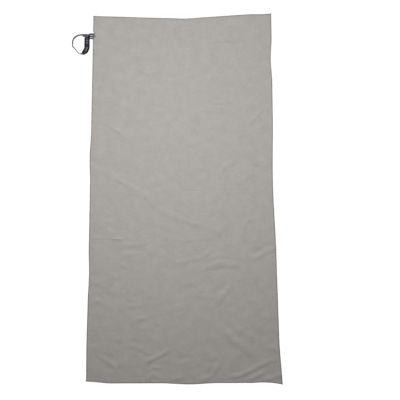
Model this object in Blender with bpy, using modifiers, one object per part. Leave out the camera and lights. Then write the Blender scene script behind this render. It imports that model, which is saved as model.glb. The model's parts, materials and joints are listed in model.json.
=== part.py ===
"""A flat microfibre golf towel with an overlocked edge and a webbing hanging loop.

The towel lies face up: +Y towards its top edge, +X to its right, +Z up from its face. The origin is the
middle of its back. The cloth is four panels that fold on three creases, and the loop lifts at the hem.
Run it with: blender --background --python part.py
"""

import math

import bmesh
import bpy
from mathutils import Matrix, Vector

MM = 0.001

# The cloth
WIDTH = 500 * MM
LENGTH = 1000 * MM
CLOTH_THICK = 0.7 * MM
PANEL_LENGTH = LENGTH / 4
CREASE_GAP = 0.3 * MM

# The overlock seam, a thread sleeve round the raw edge
SEAM_FACE = 3.5 * MM
SEAM_WALL = 0.4 * MM
SEAM_GAP = 0.3 * MM
SEAM_ROUND = 0.35 * MM
SEAM_REACH = SEAM_WALL + SEAM_GAP
MITRE_GAP = 0.3 * MM
HALF_WIDTH = WIDTH / 2
HALF_LENGTH = LENGTH / 2
CLOTH_HALF_WIDTH = HALF_WIDTH - SEAM_REACH
CLOTH_HALF_LENGTH = HALF_LENGTH - SEAM_REACH

# The webbing, and how its two ends stack behind the left edge
WEB_WIDTH = 15 * MM
WEB_THICK = 0.9 * MM
WEB_GAP = 0.15 * MM
LOOP_Y = HALF_LENGTH - 60 * MM
END_IN = -HALF_WIDTH + 8.5 * MM
END_OUT = -HALF_WIDTH - 3.7 * MM
FLOOR = -SEAM_REACH
LOWER_END_Z = FLOOR + 0.35 * MM
UPPER_END_Z = LOWER_END_Z + WEB_THICK + WEB_GAP
STACK_TOP = UPPER_END_Z + WEB_THICK

# The hem rides up over the webbing ends
LIFT = STACK_TOP + WEB_GAP - FLOOR
LIFT_FLAT_IN = 11 * MM
LIFT_END_IN = 36 * MM
LIFT_FLAT_SIDE = 9 * MM
LIFT_END_SIDE = 28 * MM
LIFT_STEPS = 5

# The bar tack that holds the ends
TACK_X = -HALF_WIDTH + 5.2 * MM
TACK_WIDTH = 2 * MM
TACK_LENGTH = 12 * MM
TACK_FACE_THICK = 0.3 * MM
TACK_BACK_THICK = 0.2 * MM

# The loop seen from above: an open outline with rounded corners, from neck to neck
HINGE_X = -HALF_WIDTH - 4 * MM
HINGE_CLEARANCE = 0.3 * MM
RING_LEFT = -HALF_WIDTH - 55 * MM
RING_RIGHT = -HALF_WIDTH - 16 * MM
RING_BOTTOM = LOOP_Y - 52.5 * MM
NECK_LEFT = HINGE_X - 9 * MM
RING_STEP = 3.5 * MM
RING_CORNERS = (
    # x, y, corner radius
    (HINGE_X - HINGE_CLEARANCE, LOOP_Y, 0),
    (NECK_LEFT, LOOP_Y, 40 * MM),
    (RING_LEFT, LOOP_Y + 4.5 * MM, 22 * MM),
    (RING_LEFT, LOOP_Y - 30 * MM, 8 * MM),
    (RING_LEFT + 18 * MM, RING_BOTTOM, 4 * MM),
    (RING_RIGHT, RING_BOTTOM, 17 * MM),
    (RING_RIGHT, LOOP_Y, 8 * MM),
    (HINGE_X - HINGE_CLEARANCE, LOOP_Y, 0),
)
# Degrees the webbing has rolled at a share of the way round: flat, nearly on edge, flat again
FAR_SIDE_ROLL = 80
RING_ROLL = (
    (0.0, 0),
    (0.06, 0),
    (0.19, 67),
    (0.33, FAR_SIDE_ROLL),
    (0.44, FAR_SIDE_ROLL),
    (0.62, 113),
    (0.72, 163),
    (0.78, 163),
    (0.87, 180),
    (1.0, 180),
)
# The first end lies on the second, and comes down to the floor by this share of the way
RING_STACKED_UNTIL = 0.07
RING_DOWN_AT = 0.2

# Fold axes stand above the cloth's middle plane by these radii
FOLD_BOTTOM_RADIUS = 2.4 * MM
FOLD_MIDDLE_RADIUS = 4.4 * MM
FOLD_TOP_RADIUS = 7.0 * MM

CLOTH_GREY = (0.415, 0.397, 0.373, 1)
THREAD_GREY = (0.29, 0.28, 0.27, 1)
WEBBING_NAVY = (0.02, 0.02, 0.035, 1)


def clear_scene():
    for old in list(bpy.data.objects):
        bpy.data.objects.remove(old, do_unlink=True)


def make_collection(name):
    collection = bpy.data.collections.new(name)
    bpy.context.scene.collection.children.link(collection)
    return collection


def make_material(name, colour, roughness):
    material = bpy.data.materials.new(name)
    material.use_nodes = True
    shader = material.node_tree.nodes["Principled BSDF"]
    shader.inputs["Base Color"].default_value = colour
    shader.inputs["Roughness"].default_value = roughness
    shader.inputs["Metallic"].default_value = 0
    material.diffuse_color = colour
    return material


def add_empty(name, location, parent=None):
    empty = bpy.data.objects.new(name, None)
    empty.empty_display_size = 0.02
    PARTS.objects.link(empty)
    place(empty, location, parent)
    return empty


def place(thing, location, parent):
    """Put a thing at a world location, under its parent if it has one. No empty is turned or scaled."""
    thing.parent = parent
    thing.location = Vector(location) - (world_location(parent) if parent else Vector())


def world_location(thing):
    spot = thing.location.copy()
    while thing.parent:
        thing = thing.parent
        spot += thing.location
    return spot


def add_mesh_object(name, bm, material, parent):
    """Make a mesh object on its parent's place from a bmesh in world coordinates."""
    origin = world_location(parent)
    bmesh.ops.translate(bm, vec=-origin, verts=bm.verts)
    mesh = bpy.data.meshes.new(name)
    bm.to_mesh(mesh)
    bm.free()
    mesh.materials.append(material)
    thing = bpy.data.objects.new(name, mesh)
    PARTS.objects.link(thing)
    place(thing, origin, parent)
    return thing


def thicken(thing, thickness, offset):
    solidify = thing.modifiers.new("Solidify", "SOLIDIFY")
    solidify.thickness = thickness
    solidify.offset = offset
    solidify.use_even_offset = True
    return solidify


def smooth(share):
    """Ease from 0 to 1 with level ends."""
    share = min(1, max(0, share))
    return share * share * (3 - 2 * share)


def hem_lift(x, y):
    """How far the cloth rides up over the webbing ends."""
    inwards = smooth((x + HALF_WIDTH - LIFT_FLAT_IN) / (LIFT_END_IN - LIFT_FLAT_IN))
    sideways = smooth((abs(y - LOOP_Y) - LIFT_FLAT_SIDE) / (LIFT_END_SIDE - LIFT_FLAT_SIDE))
    return LIFT * (1 - inwards) * (1 - sideways)


def spread(start, end, count):
    return [start + (end - start) * i / count for i in range(count + 1)]


def lift_lines_x():
    return spread(-HALF_WIDTH + LIFT_FLAT_IN, -HALF_WIDTH + LIFT_END_IN, LIFT_STEPS)


def lift_lines_y():
    below = spread(LOOP_Y - LIFT_END_SIDE, LOOP_Y - LIFT_FLAT_SIDE, LIFT_STEPS)
    above = spread(LOOP_Y + LIFT_FLAT_SIDE, LOOP_Y + LIFT_END_SIDE, LIFT_STEPS)
    return below + above


def cut_lines(bm, axis, values):
    """Cut a flat sheet along lines across one axis."""
    normal = Vector((axis == 0, axis == 1, 0))
    for value in values:
        everything = bm.verts[:] + bm.edges[:] + bm.faces[:]
        bmesh.ops.bisect_plane(bm, geom=everything, plane_co=normal * value, plane_no=normal)


def add_cloth(name, low_y, high_y, body, lifted=False):
    """One panel of cloth, with lines cut in it where it has to bend over the webbing ends."""
    bm = bmesh.new()
    bmesh.ops.create_grid(bm, x_segments=1, y_segments=1, size=0.5)
    for vert in bm.verts:
        vert.co.x *= 2 * CLOTH_HALF_WIDTH
        vert.co.y = low_y + (vert.co.y + 0.5) * (high_y - low_y)
    if lifted:
        cut_lines(bm, 0, lift_lines_x())
        cut_lines(bm, 1, lift_lines_y())
        for vert in bm.verts:
            vert.co.z = hem_lift(vert.co.x, vert.co.y)
    cloth = add_mesh_object(name, bm, CLOTH, body)
    thicken(cloth, CLOTH_THICK, 1)


def seam_profile():
    """The sleeve's section from its face tip round the edge to its back tip, as (inwards, z)."""
    top = CLOTH_THICK + SEAM_REACH - SEAM_WALL / 2
    bottom = -SEAM_REACH + SEAM_WALL / 2
    outer = SEAM_WALL / 2
    return (
        (SEAM_FACE, top),
        (outer + SEAM_ROUND, top),
        (outer, top - SEAM_ROUND),
        (outer, bottom + SEAM_ROUND),
        (outer + SEAM_ROUND, bottom),
        (SEAM_FACE, bottom),
    )


def add_seam(name, stations, inwards, body):
    """Sweep the sleeve through stations on the towel's edge. Inwards points to the cloth."""
    bm = bmesh.new()
    rows = []
    for station in stations:
        rows.append([bm.verts.new(station + inwards * u + Vector((0, 0, z))) for u, z in seam_profile()])
    for row, following in zip(rows, rows[1:]):
        for i in range(len(row) - 1):
            bm.faces.new((row[i], row[i + 1], following[i + 1], following[i]))
    bmesh.ops.recalc_face_normals(bm, faces=bm.faces)
    seam = add_mesh_object(name, bm, THREAD, body)
    thicken(seam, SEAM_WALL, 0)


def add_side_seam(name, side, low_y, high_y, body, lines=()):
    edge_x = side * HALF_WIDTH
    stations = []
    for y in [low_y, *lines, high_y]:
        lift = hem_lift(edge_x, y) if side < 0 else 0
        stations.append(Vector((edge_x, y, lift)))
    add_seam(name, stations, Vector((-side, 0, 0)), body)


def add_end_seam(name, side, body):
    reach = HALF_WIDTH - SEAM_FACE - MITRE_GAP
    stations = [Vector((x, side * HALF_LENGTH, 0)) for x in (-reach, reach)]
    add_seam(name, stations, Vector((0, -side, 0)), body)


def add_block(name, low, high, material, body):
    bm = bmesh.new()
    bmesh.ops.create_cube(bm, size=1)
    size = Vector(high) - Vector(low)
    middle = (Vector(high) + Vector(low)) / 2
    bmesh.ops.scale(bm, vec=size, verts=bm.verts)
    bmesh.ops.translate(bm, vec=middle, verts=bm.verts)
    return add_mesh_object(name, bm, material, body)


def add_loop_end(name, low_z, body):
    low = (END_OUT, LOOP_Y - WEB_WIDTH / 2, low_z)
    high = (END_IN, LOOP_Y + WEB_WIDTH / 2, low_z + WEB_THICK)
    add_block(name, low, high, WEBBING, body)


def add_tack(name, low_z, thickness, body):
    low = (TACK_X - TACK_WIDTH / 2, LOOP_Y - TACK_LENGTH / 2, low_z)
    high = (TACK_X + TACK_WIDTH / 2, LOOP_Y + TACK_LENGTH / 2, low_z + thickness)
    add_block(name, low, high, THREAD, body)


def rounded_path(corners, step):
    """Points along an outline whose corners are arcs of their own radius."""
    points = [Vector(corners[0][:2])]
    for before, corner, after in zip(corners, corners[1:], corners[2:]):
        here = Vector(corner[:2])
        back = (Vector(before[:2]) - here).normalized()
        ahead = (Vector(after[:2]) - here).normalized()
        half_angle = back.angle(ahead) / 2
        tangent = corner[2] / math.tan(half_angle)
        centre = here + (back + ahead).normalized() * corner[2] / math.sin(half_angle)
        first = here + back * tangent
        last = here + ahead * tangent
        add_straight(points, first, step)
        turn = (first - centre).angle_signed(last - centre)
        pieces = max(2, round(abs(turn) * corner[2] / step))
        for i in range(1, pieces + 1):
            points.append(centre + Matrix.Rotation(-turn * i / pieces, 2) @ (first - centre))
    add_straight(points, Vector(corners[-1][:2]), step)
    return points


def add_straight(points, end, step):
    start = points[-1]
    pieces = max(1, round((end - start).length / step))
    points.extend(start.lerp(end, i / pieces) for i in range(1, pieces + 1))


def between(table, share):
    """Ease through a table of (share, value)."""
    for (low, start), (high, end) in zip(table, table[1:]):
        if share <= high:
            return start + (end - start) * smooth((share - low) / (high - low))
    return table[-1][1]


def ring_sections():
    """The webbing's middle, and the direction across it, at each step round the loop."""
    path = rounded_path(RING_CORNERS, RING_STEP)
    travelled = [0]
    for here, following in zip(path, path[1:]):
        travelled.append(travelled[-1] + (following - here).length)
    sections = []
    for i, spot in enumerate(path):
        share = travelled[i] / travelled[-1]
        along = (path[min(i + 1, len(path) - 1)] - path[max(i - 1, 0)]).normalized()
        roll = math.radians(between(RING_ROLL, share))
        across = Vector((-along.y * math.cos(roll), along.x * math.cos(roll), math.sin(roll)))
        height = LOWER_END_Z + WEB_THICK / 2 * abs(math.cos(roll)) + WEB_WIDTH / 2 * math.sin(roll)
        stacked = 1 - smooth((share - RING_STACKED_UNTIL) / (RING_DOWN_AT - RING_STACKED_UNTIL))
        height += (UPPER_END_Z - LOWER_END_Z) * stacked
        sections.append((Vector((spot.x, spot.y, height)), across))
    return sections


def add_ring(name, body):
    """The free webbing: a ribbon rolled from flat to on edge and back, thickened to both sides."""
    bm = bmesh.new()
    rows = []
    for middle, across in ring_sections():
        rows.append([bm.verts.new(middle + across * WEB_WIDTH * share) for share in (-0.5, 0, 0.5)])
    for row, following in zip(rows, rows[1:]):
        for i in range(len(row) - 1):
            bm.faces.new((row[i], row[i + 1], following[i + 1], following[i]))
    bmesh.ops.recalc_face_normals(bm, faces=bm.faces)
    ring = add_mesh_object(name, bm, WEBBING, body)
    thicken(ring, WEB_THICK, 0)
    for polygon in ring.data.polygons:
        polygon.use_smooth = True


def crease_sides(crease_y):
    return crease_y - CREASE_GAP / 2, crease_y + CREASE_GAP / 2


def build_towel():
    middle_plane = CLOTH_THICK / 2
    root = add_empty("upper_middle", (0, 0, 0))
    top_axis = (0, PANEL_LENGTH, middle_plane + FOLD_TOP_RADIUS)
    middle_axis = (0, 0, middle_plane + FOLD_MIDDLE_RADIUS)
    bottom_axis = (0, -PANEL_LENGTH, middle_plane + FOLD_BOTTOM_RADIUS)
    top = add_empty("top_fold_axis", top_axis, root)
    lower = add_empty("middle_fold_axis", middle_axis, root)
    bottom = add_empty("bottom_fold_axis", bottom_axis, lower)
    loop = add_empty("loop_axis", (HINGE_X, LOOP_Y, STACK_TOP + WEB_GAP), top)

    upper_low, top_low = crease_sides(PANEL_LENGTH)
    lower_high, upper_high = crease_sides(0)
    bottom_high, lower_low = crease_sides(-PANEL_LENGTH)
    panels = (
        ("top", top, top_low, HALF_LENGTH, CLOTH_HALF_LENGTH),
        ("upper", root, upper_high, upper_low, upper_low),
        ("lower", lower, lower_low, lower_high, lower_high),
        ("bottom", bottom, -HALF_LENGTH, bottom_high, bottom_high),
    )
    for name, body, low_y, high_y, cloth_high_y in panels:
        is_top = name == "top"
        cloth_low_y = max(low_y, -CLOTH_HALF_LENGTH)
        add_cloth("cloth_" + name, cloth_low_y, cloth_high_y, body, lifted=is_top)
        add_side_seam("seam_left_" + name, -1, low_y, high_y, body, lift_lines_y() if is_top else ())
        add_side_seam("seam_right_" + name, 1, low_y, high_y, body)
    add_end_seam("seam_top", 1, top)
    add_end_seam("seam_bottom", -1, bottom)

    add_loop_end("loop_end_lower", LOWER_END_Z, top)
    add_loop_end("loop_end_upper", UPPER_END_Z, top)
    add_tack("tack_face", LIFT + CLOTH_THICK + WEB_GAP, TACK_FACE_THICK, top)
    add_tack("tack_back", FLOOR, TACK_BACK_THICK, top)
    add_ring("loop_ring", loop)


clear_scene()
PARTS = make_collection("golf_towel")
CLOTH = make_material("suede_microfibre", CLOTH_GREY, 0.95)
THREAD = make_material("overlock_thread", THREAD_GREY, 0.8)
WEBBING = make_material("webbing", WEBBING_NAVY, 0.7)
build_towel()
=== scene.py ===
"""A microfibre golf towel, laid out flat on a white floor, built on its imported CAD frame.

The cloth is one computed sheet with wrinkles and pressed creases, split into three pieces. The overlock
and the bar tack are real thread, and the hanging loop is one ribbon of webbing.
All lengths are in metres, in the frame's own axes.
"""

import json
import math

import bpy
import numpy as np
from mathutils import Euler, Matrix, Vector


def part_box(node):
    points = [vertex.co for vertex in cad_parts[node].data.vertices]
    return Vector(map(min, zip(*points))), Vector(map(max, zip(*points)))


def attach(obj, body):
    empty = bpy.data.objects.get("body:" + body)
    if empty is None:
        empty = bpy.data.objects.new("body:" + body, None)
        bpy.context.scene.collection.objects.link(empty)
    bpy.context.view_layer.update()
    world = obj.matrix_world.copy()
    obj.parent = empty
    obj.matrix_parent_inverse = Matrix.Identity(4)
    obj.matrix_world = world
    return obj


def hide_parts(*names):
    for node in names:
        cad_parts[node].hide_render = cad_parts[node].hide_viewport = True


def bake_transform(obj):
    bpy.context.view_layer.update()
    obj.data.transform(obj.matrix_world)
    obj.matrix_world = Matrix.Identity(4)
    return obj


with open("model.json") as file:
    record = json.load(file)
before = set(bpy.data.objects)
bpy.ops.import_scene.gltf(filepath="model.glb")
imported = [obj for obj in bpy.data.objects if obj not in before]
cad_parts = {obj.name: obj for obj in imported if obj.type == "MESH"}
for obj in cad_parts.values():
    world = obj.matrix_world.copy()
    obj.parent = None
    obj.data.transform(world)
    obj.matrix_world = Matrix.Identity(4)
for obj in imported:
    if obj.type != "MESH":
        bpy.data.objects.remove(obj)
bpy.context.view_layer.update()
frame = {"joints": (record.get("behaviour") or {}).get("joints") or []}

MM = 0.001
# The front and the back of the cloth or the webbing, as the side of its middle surface
FACES = (1, -1)
JOINT_AT = {joint["name"]: joint["pos_m"] for joint in frame["joints"]}

# The cloth and its seam, from the frame
HALF_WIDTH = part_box("seam_right_top")[1].x
HALF_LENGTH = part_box("seam_top")[1].y
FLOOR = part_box("seam_right_top")[0].z
SEAM_FACE = HALF_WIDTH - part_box("seam_right_upper")[0].x
CLOTH_HALF_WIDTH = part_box("cloth_upper")[1].x
CLOTH_HALF_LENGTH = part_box("cloth_top")[1].y
CLOTH_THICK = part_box("cloth_upper")[1].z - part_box("cloth_upper")[0].z
MIDDLE_Z = CLOTH_THICK / 2

# The webbing, from the frame
END_LOW, END_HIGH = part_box("loop_end_lower")
LOOP_Y = (END_LOW.y + END_HIGH.y) / 2
WEB_WIDTH = END_HIGH.y - END_LOW.y
WEB_THICK = END_HIGH.z - END_LOW.z
LAYER_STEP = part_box("loop_end_upper")[0].z - END_LOW.z
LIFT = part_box("cloth_top")[1].z - CLOTH_THICK

# Each strip of towel holds one fold: its name, its two bodies from the top down, and the fold
STRIPS = (
    ("bottom", ("lower_middle", "bottom_quarter"), "fold_bottom"),
    ("middle", ("upper_middle", "lower_middle"), "fold_middle"),
    ("top", ("top_quarter", "upper_middle"), "fold_top"),
)
# The quarters of the CAD's cloth and side seams that each strip stands for
STRIP_QUARTERS = {"bottom": ("bottom",), "middle": ("lower",), "top": ("upper", "top")}
# The strips meet half way between the folds
SPLIT = HALF_LENGTH / 4
SPANS = ((-HALF_LENGTH, -SPLIT), (-SPLIT, SPLIT), (SPLIT, HALF_LENGTH))

# The hem rides up over the webbing ends: level this far, then down to the floor by this far
LIFT_FLAT_IN = 11 * MM
LIFT_END_IN = 36 * MM
LIFT_FLAT_SIDE = 9 * MM
LIFT_END_SIDE = 28 * MM

# How far each edge strays from a straight line, as hills of (height, centre, reach) in mm, and how
# steeply that dies out towards the opposite edge
TOP_EDGE = ((-9.5, 0, 260), (-1.8, 15, 55), (-1.5, 225, 50), (1.5, -255, 40))
BOTTOM_EDGE = ((5, -255, 75), (-3, 15, 75), (1.2, 200, 30), (-4, 255, 35))
LEFT_EDGE = ((3.2, 442, 15), (-2.5, 95, 75), (2, -225, 75), (-1, -400, 120))
RIGHT_EDGE = ((-4, 20, 640), (-3.5, 20, 190), (-3.2, 365, 65), (5, -515, 130))
STRAY_POWER = 3

# Wrinkles, each a soft ridge or hollow: height and half width in mm, then its line's points in mm
WRINKLES = (
    # The long one that runs down across the towel from its left edge
    (0.9, 14, ((-270, 80), (-200, 50), (-145, 15), (-90, -20), (-55, -50))),
    (1.0, 14, ((-75, -42), (-30, -65), (15, -80), (70, -102), (120, -120))),
    (0.8, 10, ((-190, 38), (-140, 20), (-115, 0))),
    # Those that gather in the lower middle and run out to the right edge
    (2.0, 17, ((40, -225), (65, -205), (100, -197), (155, -195))),
    (0.9, 12, ((70, -180), (115, -172), (165, -180))),
    (1.0, 11, ((-25, -192), (45, -178), (95, -150))),
    (1.8, 13, ((185, -182), (215, -168), (275, -147))),
    (1.4, 10, ((190, -72), (172, -92), (160, -120))),
    (1.0, 10, ((158, -118), (160, -132), (166, -150))),
    (0.9, 13, ((196, -100), (202, -150))),
    (2.0, 16, ((80, -298), (105, -278), (132, -252))),
    (-0.9, 18, ((85, -268), (112, -262))),
    (0.7, 9, ((-25, -134), (30, -132), (90, -126))),
    (-0.8, 12, ((125, -232), (162, -278))),
    (0.8, 10, ((175, -284), (192, -300))),
    # Those near the bottom edge
    (1.8, 15, ((95, -360), (135, -394), (190, -440))),
    (1.0, 13, ((120, -348), (165, -378), (195, -402))),
    (1.8, 11, ((-105, -450), (-65, -431), (-25, -410))),
    (1.4, 9, ((-85, -462), (-45, -464))),
    (1.0, 12, ((-230, -428), (-195, -447), (-165, -472))),
    (1.7, 12, ((40, -492), (72, -479), (95, -442))),
    (1.0, 13, ((60, -445), (92, -425))),
    (1.7, 11, ((105, -490), (145, -477), (185, -458), (245, -437))),
    (1.5, 11, ((155, -495), (215, -468))),
    (1.4, 10, ((205, -495), (265, -474))),
    (1.1, 10, ((-35, -493), (15, -476))),
    (0.9, 10, ((-10, -452), (20, -436))),
    (1.3, 9, ((-105, -495), (-77, -478), (-50, -492))),
    # Small ones on the left
    (1.0, 11, ((-150, -308), (-110, -298), (-82, -292))),
    (0.7, 12, ((-150, -350), (-90, -335))),
    (1.5, 9, ((-192, -126), (-152, -127))),
    (1.0, 10, ((-168, -150), (-120, -143), (-85, -135))),
    (1.0, 11, ((-168, -180), (-140, -172), (-110, -162))),
    (0.8, 9, ((-168, -195), (-142, -214))),
    # Faint ones on the upper half
    (1.7, 7, ((78, 424), (105, 427), (140, 419), (165, 410))),
    (1.5, 7, ((-132, 355), (-102, 338), (-72, 336))),
    (1.4, 9, ((-212, 188), (-186, 174), (-160, 155))),
    (1.2, 7, ((35, 224), (105, 223))),
    (-0.9, 12, ((60, 262), (110, 254))),
    (1.3, 13, ((100, 35), (115, 62), (155, 92))),
    (0.8, 12, ((150, 14), (198, 47))),
    (1.1, 11, ((165, 163), (195, 195), (225, 228))),
    (0.8, 15, ((205, 150), (240, 195))),
    (0.9, 11, ((28, 64), (75, 56))),
    (-0.8, 18, ((-205, 300), (-190, 262))),
    (0.7, 15, ((60, 110), (100, 128))),
    (0.9, 18, ((-250, 394), (-205, 380))),
    (0.8, 9, ((-112, 478), (-62, 466))),
)
# Towards its ends a wrinkle fades over this length, or over this share of its own length if that's
# less, down to this share of its height
WRINKLE_FADE = 30 * MM
WRINKLE_FADE_SHARE = 0.3
WRINKLE_END = 0.15

# Pressed creases left by the towel's folding, in mm. Across the towel: y, from x, to x, depth
CROSS_CREASES = (
    (0, -15, 236, 0.45),
    (240, 60, 200, 0.3),
    (-131, -249, -165, 0.45),
    (-372, -249, -160, 0.35),
)
# Along the towel: x, from y, to y, depth
LONG_CREASE = (6, 120, 225, 0.15)
# How far a crease reaches to each side, and the length over which it fades out
CROSS_CREASE_SHAPE = (1.6 * MM, 12 * MM)
LONG_CREASE_SHAPE = (3.2 * MM, 20 * MM)

# Soft unevenness: shortest and longest wave and height in mm, how far the waves turn off the towel's
# length in degrees, number of waves, seed
CRUMPLE = (12, 40, 0.05, 180, 90, 3)
UNDULATION = (50, 160, 0.2, 180, 40, 8)
STREAKS = (18, 55, 0.12, 40, 70, 5)
# The same for how much the streaks vary from place to place, with a share in place of the height
STREAK_PATCHES = (60, 180, 0.8, 180, 30, 12)
# The same for how far the wrinkles' lines wander across and along the towel
SWERVE_ACROSS = (50, 140, 1.9, 180, 40, 21)
SWERVE_ALONG = (50, 140, 1.9, 180, 40, 34)
# The crumple and the streaks are stronger at the bottom edge than at the top one
ROUGH_AT_BOTTOM = 1.25
ROUGH_AT_TOP = 0.65

# The sheet's grid, and its closer one within this reach of a crease or a fold
GRID_STEP = 3 * MM
FINE_STEP = 0.8 * MM
FINE_REACH = 4 * MM
# The step over which the sheet's slope is measured
SLOPE_STEP = 0.5 * MM

# The lowest that the cloth's middle surface lies: inside, and near the seam with its thicker stitches
LOWEST_MIDDLE = -0.3 * MM
LOWEST_SEAM = 0.25 * MM
# How far in from the edge the seam's value holds, and how softly the surface meets the lowest height
SEAM_REACH = 5 * MM
FLOOR_SOFTNESS = 0.2 * MM

# How far to each side of a fold a bend would reach, as a share of the fold's radius
BEND_SHARE = 1.15

# Overlock stitches, and the points along a thread for each
STITCH = 2.5 * MM
LOOPER_POINTS = 8
NEEDLE_POINTS = 4
THREAD_RADIUS = 0.3 * MM
NEEDLE_RADIUS = 0.2 * MM
# Where in a stitch the looper thread starts, on the front and on the back
LOOPER_STARTS = (0, 0.5)
# The looper thread rounds the raw edge over this width
NOSE = 0.9 * MM
# Heights off the cloth, in thread radii: the looper thread's, the needle thread's lowest, and how much
# higher that one rises
LOOPER_HEIGHT = 0.85
NEEDLE_LOW = 0.2
NEEDLE_RISE = 1.2

# The bar tack: how many times it goes to and fro, and how far outwards of the CAD's one it lies
TACK_TURNS = 22
TACK_OUT = 1.5 * MM

# The webbing's ribs, which stop short of its edges, and the grid of its mesh
RIB_PITCH = 1.25 * MM
RIB_HEIGHT = 0.045 * MM
RIBBED_SHARE = 0.8
ROW_STEP = RIB_PITCH / 4
RIBBON_COLUMNS = 36
# Its section, in half widths and half thicknesses: thin at the very edge, with a thicker bead beside it
THIN_FROM = 0.99
THIN_EDGE = 0.45
BEAD_AT = 0.86
BEAD_REACH = 0.14
BEAD_HEIGHT = 0.12

# The hanging loop's line, seen from above. The band is the stretch beside the towel
LOOP_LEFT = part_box("loop_ring")[0].x + 1.7 * MM
BAND_X = LOOP_LEFT + 39.3 * MM
LOOP_BOTTOM = LOOP_Y - 52.5 * MM
HEM_END_X = END_HIGH.x + 2 * MM
FOLD_POINT = Vector((BAND_X, LOOP_Y))
FOLDED_LENGTH = HEM_END_X - BAND_X
LOOP_CORNERS = (
    # x, y, corner radius: from the hem round the loop, and on past the fold as if it weren't folded
    (HEM_END_X, LOOP_Y, 0),
    (BAND_X + 1 * MM, LOOP_Y, 30 * MM),
    (BAND_X - 14 * MM, LOOP_Y + 3.5 * MM, 14 * MM),
    (LOOP_LEFT, LOOP_Y + 0.5 * MM, 22 * MM),
    (LOOP_LEFT, LOOP_Y - 30 * MM, 8 * MM),
    (LOOP_LEFT + 18 * MM, LOOP_BOTTOM + 1 * MM, 4 * MM),
    (BAND_X - 11 * MM, LOOP_BOTTOM, 9 * MM),
    (BAND_X, LOOP_BOTTOM + 17 * MM, 20 * MM),
    (BAND_X, LOOP_Y + FOLDED_LENGTH, 0),
)
# At a share of the way round: how far the webbing is on edge, from 0 to 1
ON_EDGE = ((0, 0), (0.1, 0), (0.2, 1), (0.565, 1), (0.66, 0), (1, 0))
# The way it leans on edge, and its further turn in degrees at a share of the way round
EDGE_LEAN = Vector((0.209, -0.384, 0.9)).normalized()
EDGE_TURNS = ((0, -17), (0.3, -15), (0.45, -8), (0.55, -5), (1, -5))
# From this share of the way on, its other face is up when it lies flat
TURNED_FROM = 0.4
# The shares of the way between which it rises to the height of the fold
BAND_RISE = (0.66, 0.78)
FOLD_RADIUS = 0.75 * MM
LOWER_MIDDLE = END_LOW.z + WEB_THICK / 2
FOLD_HEIGHT = LOWER_MIDDLE + LAYER_STEP + 2 * FOLD_RADIUS

# Colours
SUEDE = (0.415, 0.395, 0.373, 1)
# The overlock thread's own darker grey, made darker still with painted shade of the hem's edge curving away
THREAD_GREY_AND_EDGE_SHADE = (0.29, 0.28, 0.27, 1)
NAVY = (0.006, 0.006, 0.012, 1)
PALE_YARN = (0.55, 0.54, 0.62, 1)
FLOOR_PAINT = (0.9, 0.9, 0.9, 1)
BACKGROUND_WHITE = (1, 1, 1, 1)

# Inputs of each material's Principled shader
SUEDE_FINISH = {"Roughness": 0.95, "Sheen Weight": 0.12, "Sheen Roughness": 0.6, "Specular IOR Level": 0.2}
THREAD_FINISH = {"Roughness": 0.8, "Specular IOR Level": 0.3}
WEBBING_FINISH = {"Roughness": 0.7, "Specular IOR Level": 0.25}
FLOOR_FINISH = {"Roughness": 0.9}

# Uneven colour: the size of a noise's features, its detail, its stretch and how far it spreads round 1
SUEDE_TONES_AND_PAINTED_SHADE = (
    # The first noise's broad lighter and darker patches are painted shade of small crumples and of the nap
    # lying other ways; the other two are the suede's own uneven tone
    (26 * MM, 4, (1, 1, 1), 0.2),
    (7 * MM, 3, (0.6, 1, 1), 0.12),
    (2.4 * MM, 2, (0.45, 1, 1), 0.22),
)
THREAD_TONES = ((0.35 * MM, 2, (1, 1, 1), 0.7),)
# Relief: the size of a noise's features and its detail, with softer clumps on the suede besides its grain
SUEDE_GRAIN = (0.7 * MM, 3)
SUEDE_CLUMPS = (4 * MM, 2)
CLUMP_WEIGHT = 2.0
THREAD_TWIST = (0.18 * MM, 2)
# The distance and the strength of each relief
SUEDE_BUMP = (0.12 * MM, 0.5)
THREAD_BUMP = (0.05 * MM, 0.6)
WEBBING_BUMP = (0.06 * MM, 0.7)

# The webbing's dark face: hollow lozenges in a row, every third one small. A lozenge's ring is in shares
# of its size
MOTIF_PITCH = 7.2 * MM
MOTIF_SIZE = 3.7 * MM
SMALL_MOTIF_SIZE = MOTIF_SIZE * 0.45
SMALL_MOTIF_EVERY = 3
RING_MIDDLE = 0.68
RING_HALF = 0.32
MOTIF_STRENGTH = 0.3
# Its reverse: two stripes, bright and dim by turns, with a dark gap between, a little off the centre, and
# a faint tone outside them
STRIPE_OFFSET = 2 * MM
STRIPE_AT = 2.75 * MM
STRIPE_HALF = 1.1 * MM
STRIPE_STRENGTH = 0.95
DIM_STRIPE_STRENGTH = 0.3
RUN_PITCH = 4 * MOTIF_PITCH
BRIGHT_PHASE = 0.09
BRIGHT_SHARE = 0.5
REVERSE_STRENGTH = 0.15
# Its yarns, and how far they shade its colour
WARP_PITCH = 0.8 * MM
WEFT_PITCH = 0.625 * MM
YARN_SHADE = 0.18

# The studio: the brightness of white as the camera sees it, and of the little light from all round
FLOOR_SIZE = 60
WHITE_GLOW = 1.05
WORLD_LIGHT = 0.055
# Each light: where it is, what it's aimed at, its size and its power
LIGHTS = {
    "overhead": ((-0.05, 0.19, 1.08), (-0.05, 0.19, 0), 0.4, 9.1),
    "far": ((0, 2.2, 1.8), (0, 0, 0), 0.6, 26),
    "fill": ((0.3, -2.2, 0.5), (0, 0, 0), 1, 2.2),
}
CAMERA_AT = (0.0854, -0.27, 1.6151)
CAMERA_TURN = (math.radians(8.582), math.radians(1.454), math.radians(-0.613))
CAMERA_LENS = 55
CAMERA_NEAREST = 0.01
CAMERA_FARTHEST = 100


# Shapes of the cloth

def smooth(share):
    """Ease from 0 to 1 with level ends."""
    share = np.clip(share, 0, 1)
    return share * share * (3 - 2 * share)


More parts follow.
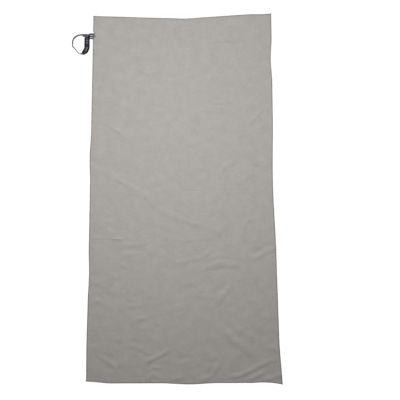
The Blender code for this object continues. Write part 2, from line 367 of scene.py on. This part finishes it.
def hill(value, centre, reach):
    """A smooth hill, 1 at its centre and 0 from its reach on."""
    return 0.5 + 0.5 * np.cos(np.pi * np.clip(np.abs(value - centre) / reach, 0, 1))


def stray(edge, along):
    """How far an edge strays from its straight line at places along it."""
    return sum(MM * height * hill(along, centre * MM, reach * MM) for height, centre, reach in edge)


def hem_lift(x, y):
    """How far the cloth rides up over the webbing ends."""
    inwards = smooth((x + HALF_WIDTH - LIFT_FLAT_IN) / (LIFT_END_IN - LIFT_FLAT_IN))
    sideways = smooth((np.abs(y - LOOP_Y) - LIFT_FLAT_SIDE) / (LIFT_END_SIDE - LIFT_FLAT_SIDE))
    return LIFT * (1 - inwards) * (1 - sideways)


def wrinkle(x, y, height, half_width, line):
    """A ridge along a line of points, rounded across and fading out towards both ends."""
    points = np.array(line) * MM
    lengths = np.linalg.norm(np.diff(points, axis=0), axis=1)
    nearest = np.full(x.shape, np.inf)
    along = np.zeros(x.shape)
    travelled = 0
    for start, end, length in zip(points, points[1:], lengths):
        direction = (end - start) / length
        reached = np.clip((x - start[0]) * direction[0] + (y - start[1]) * direction[1], 0, length)
        distance = np.hypot(x - start[0] - reached * direction[0], y - start[1] - reached * direction[1])
        closer = distance < nearest
        nearest[closer] = distance[closer]
        along[closer] = (travelled + reached)[closer]
        travelled += length
    fade_length = min(travelled * WRINKLE_FADE_SHARE, WRINKLE_FADE)
    fade = WRINKLE_END + (1 - WRINKLE_END) * smooth(np.minimum(along, travelled - along) / fade_length)
    return height * MM * fade * hill(nearest, 0, half_width * MM)


def all_wrinkles(x, y):
    """The sum of all wrinkles, each worked out only near its own line."""
    total = np.zeros(x.shape)
    for height, half_width, line in WRINKLES:
        points = np.array(line) * MM
        low, high = points.min(0) - half_width * MM, points.max(0) + half_width * MM
        near = (x > low[0]) & (x < high[0]) & (y > low[1]) & (y < high[1])
        total[near] += wrinkle(x[near], y[near], height, half_width, line)
    return total


def waves(x, y, shortest, longest, height, turn, count, seed):
    """Seeded unevenness from many small waves, which run along the towel or up to a turn off it."""
    random = np.random.default_rng(seed)
    total = np.zeros(x.shape)
    for _ in range(count):
        number = 2 * math.pi / (MM * random.uniform(shortest, longest))
        heading = math.radians(90 + random.uniform(-turn, turn))
        phase = random.uniform(0, 2 * math.pi)
        total += np.cos(number * (x * math.cos(heading) + y * math.sin(heading)) + phase)
    return total * height * MM * math.sqrt(2 / count)


def crease(across, along, place, start, end, depth, reach, fade_length):
    """A thin groove at a place across it, from start to end along it, fading out at both."""
    from_end = (end - start) / 2 * MM - np.abs(along - (start + end) / 2 * MM)
    return -depth * MM * smooth(from_end / fade_length) * hill(across, place * MM, reach)


def pressed_creases(x, y):
    """The creases across the towel and the one along it."""
    total = sum(crease(y, x, *line, *CROSS_CREASE_SHAPE) for line in CROSS_CREASES)
    return total + crease(x, y, *LONG_CREASE, *LONG_CREASE_SHAPE)


def kept_above_floor(height, x, y):
    """Ease the middle surface's height up where it, or the stitches round it, would sink into the floor."""
    from_edge = np.minimum(HALF_WIDTH - np.abs(x), HALF_LENGTH - np.abs(y))
    lowest = LOWEST_SEAM + (LOWEST_MIDDLE - LOWEST_SEAM) * smooth(from_edge / SEAM_REACH - 1)
    above = height - lowest
    return lowest + (above + np.sqrt(above**2 + FLOOR_SOFTNESS**2)) / 2


def lay(x, y):
    """Where a point of the flat towel lies: its middle surface, as an array of (x, y, z)."""
    right = np.clip((x + HALF_WIDTH) / (2 * HALF_WIDTH), 0, 1)
    up = np.clip((y + HALF_LENGTH) / (2 * HALF_LENGTH), 0, 1)
    shift_x = stray(LEFT_EDGE, y) * (1 - right) ** STRAY_POWER + stray(RIGHT_EDGE, y) * right**STRAY_POWER
    shift_y = stray(TOP_EDGE, x) * up**STRAY_POWER + stray(BOTTOM_EDGE, x) * (1 - up) ** STRAY_POWER
    swerved = all_wrinkles(x + waves(x, y, *SWERVE_ACROSS), y + waves(x, y, *SWERVE_ALONG))
    streaks = waves(x, y, *STREAKS) * (1 + waves(x, y, *STREAK_PATCHES) / MM)
    relief = swerved + pressed_creases(x, y) + waves(x, y, *UNDULATION)
    relief += (waves(x, y, *CRUMPLE) + streaks) * (ROUGH_AT_BOTTOM + (ROUGH_AT_TOP - ROUGH_AT_BOTTOM) * up)
    height = kept_above_floor(MIDDLE_Z + relief, x, y) + hem_lift(x, y)
    return np.stack((x + shift_x, y + shift_y, height), axis=-1)


def facing(x, y):
    """The laid towel's upward normals."""
    across = lay(x + SLOPE_STEP, y) - lay(x - SLOPE_STEP, y)
    along = lay(x, y + SLOPE_STEP) - lay(x, y - SLOPE_STEP)
    normal = np.cross(across, along)
    return normal / np.linalg.norm(normal, axis=-1, keepdims=True)


# Making objects

def in_scene(name, data):
    """A new object, linked to the scene."""
    thing = bpy.data.objects.new(name, data)
    bpy.context.scene.collection.objects.link(thing)
    return thing


def add_piece(name, mesh, material):
    """A visible piece of the towel, smooth shaded."""
    mesh.materials.clear()
    mesh.materials.append(material)
    mesh.shade_smooth()
    piece = in_scene(name, mesh)
    return piece


def store_pattern(mesh, places):
    """Keep each vertex's place on the flat material, so that a pattern stays put when the piece bends."""
    attribute = mesh.attributes.new("pattern", "FLOAT_VECTOR", "POINT")
    attribute.data.foreach_set("vector", np.asarray(places, np.float32).ravel())


def grid_quads(rows, columns, first=0):
    """The faces of a grid of points whose numbers start at first."""
    index = first + np.arange(rows * columns).reshape(rows, columns)
    corners = (index[:-1, :-1], index[:-1, 1:], index[1:, 1:], index[1:, :-1])
    return np.stack([corner.ravel() for corner in corners], axis=1)


def closed_sheet(name, front, back):
    """A mesh from a front and a back grid of points, joined all round their rims."""
    rows, columns = front.shape[:2]
    count = rows * columns
    index = np.arange(count).reshape(rows, columns)
    rim = np.concatenate((index[0, :-1], index[:-1, -1], index[-1, :0:-1], index[:0:-1, 0]))
    following = np.roll(rim, -1)
    sides = np.stack((following, rim, rim + count, following + count), axis=1)
    faces = np.concatenate((grid_quads(rows, columns), grid_quads(rows, columns, count)[:, ::-1], sides))
    points = np.concatenate((front.reshape(-1, 3), back.reshape(-1, 3)))
    mesh = bpy.data.meshes.new(name)
    mesh.from_pydata(points.tolist(), [], faces.tolist())
    return mesh


def fine_lines(start, end, centres):
    """Grid lines a normal step apart, and closer together near some centres."""
    lines = [start]
    while lines[-1] < end:
        near = any(abs(lines[-1] - centre) < FINE_REACH for centre in centres)
        lines.append(lines[-1] + (FINE_STEP if near else GRID_STEP))
    lines = np.array(lines)
    return start + (lines - start) * (end - start) / (lines[-1] - start)


def fold_line(joint_name):
    """A fold's y, and how far a bend would reach to each side of it."""
    spot = JOINT_AT[joint_name]
    radius = spot[2] - MIDDLE_Z
    return spot[1], radius * BEND_SHARE


def bend_at(piece, joint_name, upper_body, lower_body):
    """Bake a piece's placement into its mesh; the fold and the two bodies are not used."""
    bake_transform(piece)


def row_lines():
    """The sheet's rows, from bottom to top, with a row exactly at each split."""
    creases = [line[0] * MM for line in CROSS_CREASES]
    parts = []
    for (start, end), (_, _, joint_name) in zip(SPANS, STRIPS):
        fold_y, _ = fold_line(joint_name)
        parts.append(fine_lines(start, end, creases + [fold_y]))
    return parts


def add_cloth(strip, bodies, joint_name, ys, material):
    """One strip of the sheet, thickened to both sides of its middle surface."""
    inside = np.clip(ys, -CLOTH_HALF_LENGTH, CLOTH_HALF_LENGTH)
    xs = fine_lines(-CLOTH_HALF_WIDTH, CLOTH_HALF_WIDTH, (LONG_CREASE[0] * MM,))
    x, y = np.meshgrid(xs, inside)
    middle, normal = lay(x, y), facing(x, y)
    front, back = middle + normal * CLOTH_THICK / 2, middle - normal * CLOTH_THICK / 2
    mesh = closed_sheet("cloth_" + strip, front, back)
    flat = np.stack((x, y, np.zeros(x.shape)), axis=-1).reshape(-1, 3)
    store_pattern(mesh, np.concatenate((flat, flat + (0, 0, CLOTH_THICK))))
    cloth = add_piece("towel_cloth_" + strip, mesh, material)
    normals = np.concatenate((normal.reshape(-1, 3), -normal.reshape(-1, 3)))
    cloth.data.normals_split_custom_set_from_vertices(normals.tolist())
    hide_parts(*("cloth_" + quarter for quarter in STRIP_QUARTERS[strip]))
    bend_at(cloth, joint_name, *bodies)


# Thread

def add_thread(name, paths, material):
    """Round threads along paths, each given as its points and its radius, as one mesh."""
    curve = bpy.data.curves.new(name, "CURVE")
    curve.dimensions = "3D"
    curve.bevel_resolution = 1
    curve.use_fill_caps = True
    curve.bevel_depth = THREAD_RADIUS
    for points, radius in paths:
        spline = curve.splines.new("POLY")
        spline.points.add(len(points) - 1)
        spline.points.foreach_set("co", np.c_[points, np.ones(len(points))].ravel())
        spline.points.foreach_set("radius", np.full(len(points), radius / THREAD_RADIUS))
    tube = in_scene(name + "_curve", curve)
    evaluated = tube.evaluated_get(bpy.context.evaluated_depsgraph_get())
    mesh = bpy.data.meshes.new_from_object(evaluated)
    bpy.data.objects.remove(tube)
    bpy.data.curves.remove(curve)
    places = np.zeros(len(mesh.vertices) * 3, np.float32)
    mesh.vertices.foreach_get("co", places)
    store_pattern(mesh, places)
    return add_piece(name, mesh, material)


def on_edge(side, along, inwards, height):
    """Points near an edge of the laid towel: how far along it, inwards from it and off its middle."""
    place = {
        "left": (-HALF_WIDTH + inwards, along),
        "right": (HALF_WIDTH - inwards, along),
        "top": (along, HALF_LENGTH - inwards),
        "bottom": (along, -HALF_LENGTH + inwards),
    }[side]
    return lay(*place) + facing(*place) * height[:, None]


def seam_places(start, end, points):
    """Places along a seam, with some points to each stitch."""
    return np.linspace(start, end, round((end - start) / STITCH) * points + 1)


def looper_path(side, start, end, face, offset):
    """A looper thread that runs to and fro between the needle line and the raw edge on one face."""
    along = seam_places(start, end, LOOPER_POINTS)
    swing = 0.5 + 0.5 * np.cos(2 * math.pi * ((along - start) / STITCH + offset))
    inwards = THREAD_RADIUS + (SEAM_FACE - 2 * THREAD_RADIUS) * swing
    round_edge = 1 - np.clip((inwards - THREAD_RADIUS / 2) / NOSE, 0, 1)
    height = face * (CLOTH_THICK / 2 + THREAD_RADIUS * LOOPER_HEIGHT) * np.sqrt(1 - round_edge**2)
    return on_edge(side, along, inwards, height)


def needle_path(side, start, end, face):
    """The needle thread: a row of short stitches that dip into the cloth between the looper's turns."""
    along = seam_places(start, end, NEEDLE_POINTS)
    rise = 0.5 - 0.5 * np.cos(2 * math.pi * (along - start) / STITCH)
    height = face * (CLOTH_THICK / 2 + THREAD_RADIUS * (NEEDLE_LOW + NEEDLE_RISE * rise))
    inwards = np.full(along.shape, SEAM_FACE - 2 * THREAD_RADIUS)
    return on_edge(side, along, inwards, height)


def add_overlock(name, side, start, end, nodes, material):
    """The overlock along a stretch of one edge: a looper and a needle thread on each face."""
    paths = []
    for face, offset in zip(FACES, LOOPER_STARTS):
        paths.append((looper_path(side, start, end, face, offset), THREAD_RADIUS))
        paths.append((needle_path(side, start, end, face), NEEDLE_RADIUS))
    stitches = add_thread(name, paths, material)
    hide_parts(*nodes)
    return stitches


def add_side_overlocks(material):
    """The long edges' overlock, split as the cloth is."""
    for side in ("left", "right"):
        for (strip, bodies, joint_name), (start, end) in zip(STRIPS, SPANS):
            nodes = ["seam_%s_%s" % (side, quarter) for quarter in STRIP_QUARTERS[strip]]
            name = "overlock_%s_%s" % (side, strip)
            bend_at(add_overlock(name, side, start, end, nodes, material), joint_name, *bodies)


def add_end_overlocks(material):
    """The short edges' overlock."""
    for side in ("top", "bottom"):
        nodes = ("seam_" + side,)
        stitches = add_overlock("overlock_" + side, side, -HALF_WIDTH, HALF_WIDTH, nodes, material)
        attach(stitches, side + "_quarter")


def add_bar_tack(material):
    """A close zigzag of thread through the hem and both webbing ends."""
    low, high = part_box("tack_face")
    back_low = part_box("tack_back")[0]
    along = np.linspace(low.y, high.y, TACK_TURNS * 2 + 1)
    sway = np.where(np.arange(len(along)) % 2, -1, 1) * (high.x - low.x) / 2
    x = (low.x + high.x) / 2 - TACK_OUT + sway
    face_points = lay(x, along)
    face_points[:, 2] += CLOTH_THICK / 2 + NEEDLE_RADIUS
    back_points = face_points.copy()
    back_points[:, 2] = back_low.z + NEEDLE_RADIUS
    tack = add_thread("bar_tack", ((face_points, NEEDLE_RADIUS), (back_points, NEEDLE_RADIUS)), material)
    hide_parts("tack_face", "tack_back")
    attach(tack, "top_quarter")


# The hanging loop

def rounded_path(corners, step):
    """Points a step apart along an outline whose corners are arcs of their own radius."""
    points = [Vector(corners[0][:2])]
    for before, corner, after in zip(corners, corners[1:], corners[2:]):
        here = Vector(corner[:2])
        back = (Vector(before[:2]) - here).normalized()
        ahead = (Vector(after[:2]) - here).normalized()
        half_angle = back.angle(ahead) / 2
        tangent = corner[2] / math.tan(half_angle)
        centre = here + (back + ahead).normalized() * corner[2] / math.sin(half_angle)
        first, last = here + back * tangent, here + ahead * tangent
        add_straight(points, first, step)
        turn = (first - centre).angle_signed(last - centre)
        pieces = max(2, round(abs(turn) * corner[2] / step))
        for i in range(1, pieces + 1):
            points.append(centre + Matrix.Rotation(-turn * i / pieces, 2) @ (first - centre))
    add_straight(points, Vector(corners[-1][:2]), step)
    return points


def add_straight(points, end, step):
    """Carry a list of points on to an end, a step apart."""
    start = points[-1]
    pieces = max(1, round((end - start).length / step))
    points.extend(start.lerp(end, i / pieces) for i in range(1, pieces + 1))


def between(table, share):
    """Ease through a table of (share, value)."""
    for (low, start), (high, end) in zip(table, table[1:]):
        if share <= high:
            return start + (end - start) * float(smooth((share - low) / (high - low)))
    return table[-1][1]


def webbing_roll(along, share):
    """The angle the webbing has rolled: flat, then leaning on edge, then flat with its other face up."""
    lean = EDGE_LEAN - Vector((along.x, along.y, 0)) * EDGE_LEAN.xy.dot(along)
    flat_part = lean.x * -along.y + lean.y * along.x
    on_edge_roll = math.atan2(lean.z, flat_part) + math.radians(between(EDGE_TURNS, share))
    flat_roll = 0 if share < TURNED_FROM else math.pi
    return flat_roll + (on_edge_roll - flat_roll) * between(ON_EDGE, share)


def webbing_profile():
    """The webbing's section: places across it from -1 to 1, and its half thicknesses there."""
    across = np.linspace(-1, 1, RIBBON_COLUMNS + 1)
    thick = np.where(np.abs(across) > THIN_FROM, THIN_EDGE, 1.0)
    return across, thick + BEAD_HEIGHT * hill(np.abs(across), BEAD_AT, BEAD_REACH)


def fold_over(points):
    """Fold the webbing back under itself on a diagonal, so that it turns towards the hem."""
    away = Vector((-1, 1)).normalized()
    past = (points[..., 0] - FOLD_POINT.x) * away.x + (points[..., 1] - FOLD_POINT.y) * away.y
    above = points[..., 2] - FOLD_HEIGHT
    angle = np.clip(past / FOLD_RADIUS, 0, math.pi)
    reach = (FOLD_RADIUS + above) * np.sin(angle) - np.maximum(past - math.pi * FOLD_RADIUS, 0)
    folded = points.copy()
    folded[..., 0] += (reach - past) * away.x
    folded[..., 1] += (reach - past) * away.y
    folded[..., 2] = FOLD_HEIGHT - FOLD_RADIUS + (FOLD_RADIUS + above) * np.cos(angle)
    return np.where((past > 0)[..., None], folded, points)


def webbing_rows(spot, along, travelled, share):
    """A row of points across each face of the webbing, at one spot along it."""
    roll = webbing_roll(along, share)
    sideways = np.array((-along.y * math.cos(roll), along.x * math.cos(roll), math.sin(roll)))
    normal = np.cross((along.x, along.y, 0), sideways)
    height = END_LOW.z + WEB_THICK / 2 * abs(math.cos(roll)) + WEB_WIDTH / 2 * math.sin(roll)
    rise = float(smooth((share - BAND_RISE[0]) / (BAND_RISE[1] - BAND_RISE[0])))
    middle = np.array((spot.x, spot.y, height + (FOLD_HEIGHT - LOWER_MIDDLE) * rise))
    across, thick = webbing_profile()
    rib = RIB_HEIGHT * math.cos(2 * math.pi * travelled / RIB_PITCH) * (np.abs(across) < RIBBED_SHARE)
    thickness = (WEB_THICK / 2 * thick + rib)[:, None]
    line = middle + sideways * across[:, None] * WEB_WIDTH / 2
    rows = [line + normal * thickness * face for face in FACES]
    return [fold_over(row) for row in rows] if share > BAND_RISE[1] else rows


def add_webbing(material):
    """One length of webbing: out of the hem, round the loop on edge, back flat, and folded into the hem."""
    path = rounded_path(LOOP_CORNERS, ROW_STEP)
    headings = [(b - a).normalized() for a, b in zip(path[:1] + path, path[1:] + path[-1:])]
    travelled = np.cumsum([0] + [(b - a).length for a, b in zip(path, path[1:])])
    spots = zip(path, headings, travelled, travelled / travelled[-1])
    front, back = np.array([webbing_rows(*spot) for spot in spots]).swapaxes(0, 1)
    mesh = closed_sheet("webbing", front, back)
    across, _ = webbing_profile()
    flat = np.stack(np.meshgrid(across * WEB_WIDTH / 2, travelled), axis=-1).reshape(-1, 2)
    sides = [np.c_[flat, np.full(len(flat), face * MM)] for face in FACES]
    store_pattern(mesh, np.concatenate(sides))
    ribbon = add_piece("hanging_loop_webbing", mesh, material)
    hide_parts("loop_ring", "loop_end_lower", "loop_end_upper")
    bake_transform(ribbon)


# Materials

def new_material(name, colour, settings):
    """A material of one colour, and its Principled shader with some inputs set by name."""
    material = bpy.data.materials.new(name)
    material.use_nodes = True
    material.diffuse_color = colour
    shader = material.node_tree.nodes["Principled BSDF"]
    shader.inputs["Base Color"].default_value = colour
    for key, value in settings.items():
        shader.inputs[key].default_value = value
    return material, shader


def add_node(tree, kind, inputs=(), **settings):
    """A node with some settings, and inputs given as (name or number, value or socket)."""
    node = tree.nodes.new(kind)
    for key, value in settings.items():
        setattr(node, key, value)
    for key, value in inputs:
        if isinstance(value, bpy.types.NodeSocket):
            tree.links.new(value, node.inputs[key])
        else:
            node.inputs[key].default_value = value
    return node


def maths(tree, operation, first, second=0.0):
    """The result of a sum on one or two values or sockets."""
    return add_node(tree, "ShaderNodeMath", ((0, first), (1, second)), operation=operation).outputs[0]


def pattern_place(tree, stretch=(1, 1, 1)):
    """The stored flat place, stretched."""
    stored = add_node(tree, "ShaderNodeAttribute", attribute_name="pattern").outputs["Vector"]
    inputs = ((0, stored), (1, stretch))
    return add_node(tree, "ShaderNodeVectorMath", inputs, operation="MULTIPLY").outputs[0]


def noise(tree, size, detail=2.0, stretch=(1, 1, 1)):
    """Noise from 0 to 1 with features of about this size."""
    inputs = (("Vector", pattern_place(tree, stretch)), ("Scale", 1 / size), ("Detail", detail))
    return add_node(tree, "ShaderNodeTexNoise", inputs).outputs["Fac"]


def spread_about_one(tree, value, amount):
    """Turn noise round 0.5 into a factor round 1."""
    return maths(tree, "ADD", maths(tree, "MULTIPLY", maths(tree, "SUBTRACT", value, 0.5), amount), 1.0)


def unevenness(tree, tones):
    """A factor round 1 from one or more noises multiplied together."""
    factor = 1.0
    for size, detail, stretch, amount in tones:
        tone = spread_about_one(tree, noise(tree, size, detail, stretch), amount)
        factor = maths(tree, "MULTIPLY", factor, tone)
    return factor


def set_colour(tree, shader, colour, factor):
    """Give a shader a colour that a factor makes lighter or darker."""
    inputs = ((0, colour), ("Scale", factor))
    tinted = add_node(tree, "ShaderNodeVectorMath", inputs, operation="SCALE").outputs[0]
    tree.links.new(tinted, shader.inputs["Base Color"])


def add_bump(tree, shader, height, distance, strength):
    """Give a shader relief from a height that varies from place to place."""
    inputs = (("Height", height), ("Distance", distance), ("Strength", strength))
    tree.links.new(add_node(tree, "ShaderNodeBump", inputs).outputs[0], shader.inputs["Normal"])


def suede_material():
    """Brushed nap: fine grain, broad patches of painted shade for small crumples and the nap lying other
    ways, and a soft sheen.
    """
    material, shader = new_material("suede_microfibre", SUEDE, SUEDE_FINISH)
    tree = material.node_tree
    # Broad lighter and darker patches in this colour are painted shade of crumples and of the nap lying
    # other ways
    set_colour(tree, shader, SUEDE[:3], unevenness(tree, SUEDE_TONES_AND_PAINTED_SHADE))
    clumps = maths(tree, "MULTIPLY", noise(tree, *SUEDE_CLUMPS), CLUMP_WEIGHT)
    add_bump(tree, shader, maths(tree, "ADD", noise(tree, *SUEDE_GRAIN), clumps), *SUEDE_BUMP)
    return material


def thread_material():
    """Bulked thread: a fine twist and uneven colour, on a grey that also carries painted shade of the
    curving edge.
    """
    material, shader = new_material("overlock_thread", THREAD_GREY_AND_EDGE_SHADE, THREAD_FINISH)
    tree = material.node_tree
    # The base grey is the thread's own colour with painted shade of the hem's curving edge
    set_colour(tree, shader, THREAD_GREY_AND_EDGE_SHADE[:3], unevenness(tree, THREAD_TONES))
    add_bump(tree, shader, noise(tree, *THREAD_TWIST), *THREAD_BUMP)
    return material


def lozenges(tree, off_centre, cells):
    """The dark face's motif, by the distance off the webbing's centre and the count of motifs along it."""
    in_cell = maths(tree, "ABSOLUTE", maths(tree, "SUBTRACT", maths(tree, "FRACT", cells), 0.5))
    lengthways = maths(tree, "MULTIPLY", in_cell, MOTIF_PITCH)
    turn = maths(tree, "MODULO", maths(tree, "FLOOR", cells), SMALL_MOTIF_EVERY)
    small = maths(tree, "LESS_THAN", turn, 0.5)
    less = maths(tree, "MULTIPLY", small, MOTIF_SIZE - SMALL_MOTIF_SIZE)
    size = maths(tree, "SUBTRACT", MOTIF_SIZE, less)
    lozenge = maths(tree, "DIVIDE", maths(tree, "ADD", off_centre, lengthways), size)
    off_ring = maths(tree, "ABSOLUTE", maths(tree, "SUBTRACT", lozenge, RING_MIDDLE))
    return maths(tree, "MULTIPLY", maths(tree, "LESS_THAN", off_ring, RING_HALF), MOTIF_STRENGTH)


def paired_stripes(tree, across, along):
    """How pale the reverse is at a place on the webbing: two stripes, and a faint tone outside them."""
    off_pair = maths(tree, "ABSOLUTE", maths(tree, "ADD", across, STRIPE_OFFSET))
    off_stripe = maths(tree, "ABSOLUTE", maths(tree, "SUBTRACT", off_pair, STRIPE_AT))
    runs = maths(tree, "ADD", maths(tree, "MULTIPLY", along, 1 / RUN_PITCH), BRIGHT_PHASE)
    bright = maths(tree, "GREATER_THAN", maths(tree, "FRACT", runs), 1 - BRIGHT_SHARE)
    more = maths(tree, "MULTIPLY", bright, STRIPE_STRENGTH - DIM_STRIPE_STRENGTH)
    strength = maths(tree, "ADD", more, DIM_STRIPE_STRENGTH)
    stripes = maths(tree, "MULTIPLY", maths(tree, "LESS_THAN", off_stripe, STRIPE_HALF), strength)
    outside = maths(tree, "MULTIPLY", maths(tree, "GREATER_THAN", off_pair, STRIPE_AT), REVERSE_STRENGTH)
    return maths(tree, "MAXIMUM", stripes, outside)


def webbing_material():
    """Woven tape: a pale motif on its dark face, paler stripes on its reverse, and fine yarns."""
    material, shader = new_material("webbing", NAVY, WEBBING_FINISH)
    tree = material.node_tree
    across, along, side = add_node(tree, "ShaderNodeSeparateXYZ", ((0, pattern_place(tree)),)).outputs
    cells = maths(tree, "MULTIPLY", along, 1 / MOTIF_PITCH)
    motif = lozenges(tree, maths(tree, "ABSOLUTE", across), cells)
    stripes = paired_stripes(tree, across, along)
    reverse = maths(tree, "GREATER_THAN", side, 0.0)
    pale = add_node(tree, "ShaderNodeMix", ((0, reverse), (2, motif), (3, stripes))).outputs[0]
    colours = ((0, pale), (6, NAVY), (7, PALE_YARN))
    colour = add_node(tree, "ShaderNodeMix", colours, data_type="RGBA").outputs[2]
    warp = maths(tree, "SINE", maths(tree, "MULTIPLY", across, 2 * math.pi / WARP_PITCH))
    weft = maths(tree, "SINE", maths(tree, "MULTIPLY", along, 2 * math.pi / WEFT_PITCH))
    yarns = maths(tree, "MULTIPLY", warp, weft)
    set_colour(tree, shader, colour, maths(tree, "ADD", maths(tree, "MULTIPLY", yarns, YARN_SHADE), 1.0))
    add_bump(tree, shader, yarns, *WEBBING_BUMP)
    return material


def floor_material():
    """White to the camera, and plain pale paint to everything else."""
    material, shader = new_material("floor", FLOOR_PAINT, FLOOR_FINISH)
    material.cycles.emission_sampling = "NONE"
    tree = material.node_tree
    glow = add_node(tree, "ShaderNodeEmission", (("Color", BACKGROUND_WHITE), ("Strength", WHITE_GLOW)))
    seen = add_node(tree, "ShaderNodeLightPath").outputs["Is Camera Ray"]
    mix = add_node(tree, "ShaderNodeMixShader", ((0, seen), (1, shader.outputs[0]), (2, glow.outputs[0])))
    tree.links.new(mix.outputs[0], tree.nodes["Material Output"].inputs["Surface"])
    return material


# The studio

def add_floor():
    """A wide floor at the height that the towel rests on."""
    half = FLOOR_SIZE / 2
    corners = [(x, y, FLOOR) for x, y in ((-half, -half), (half, -half), (half, half), (-half, half))]
    mesh = bpy.data.meshes.new("studio_floor")
    mesh.from_pydata(corners, [], [(0, 1, 2, 3)])
    mesh.materials.append(floor_material())
    in_scene("studio_floor", mesh)


def add_world():
    """White behind everything, and only a little light from all round."""
    world = bpy.data.worlds.new("studio")
    bpy.context.scene.world = world
    world.use_nodes = True
    tree = world.node_tree
    seen = add_node(tree, "ShaderNodeLightPath").outputs["Is Camera Ray"]
    strength = maths(tree, "ADD", maths(tree, "MULTIPLY", seen, WHITE_GLOW - WORLD_LIGHT), WORLD_LIGHT)
    background = tree.nodes["Background"]
    background.inputs["Color"].default_value = BACKGROUND_WHITE
    tree.links.new(strength, background.inputs["Strength"])


def add_light(name, place, aim, size, power):
    """A square soft light that points at its aim."""
    light = bpy.data.lights.new(name, "AREA")
    light.size = size
    light.energy = power
    lamp = in_scene(name, light)
    lamp.location = place
    lamp.rotation_euler = (Vector(aim) - Vector(place)).to_track_quat("-Z", "Y").to_euler()


def add_camera():
    """The camera, nearly straight above the towel."""
    data = bpy.data.cameras.new("camera")
    data.lens = CAMERA_LENS
    data.clip_start = CAMERA_NEAREST
    data.clip_end = CAMERA_FARTHEST
    camera = in_scene("camera", data)
    camera.location = CAMERA_AT
    camera.rotation_mode = "YXZ"
    camera.rotation_euler = Euler(CAMERA_TURN, "YXZ")
    bpy.context.scene.camera = camera


suede = suede_material()
thread = thread_material()
for (strip_name, strip_bodies, strip_joint), strip_rows in zip(STRIPS, row_lines()):
    add_cloth(strip_name, strip_bodies, strip_joint, strip_rows, suede)
add_side_overlocks(thread)
add_end_overlocks(thread)
add_bar_tack(thread)
add_webbing(webbing_material())
add_floor()
add_world()
for light_name, light_settings in LIGHTS.items():
    add_light(light_name, *light_settings)
add_camera()
bpy.context.scene.view_settings.view_transform = "Standard"
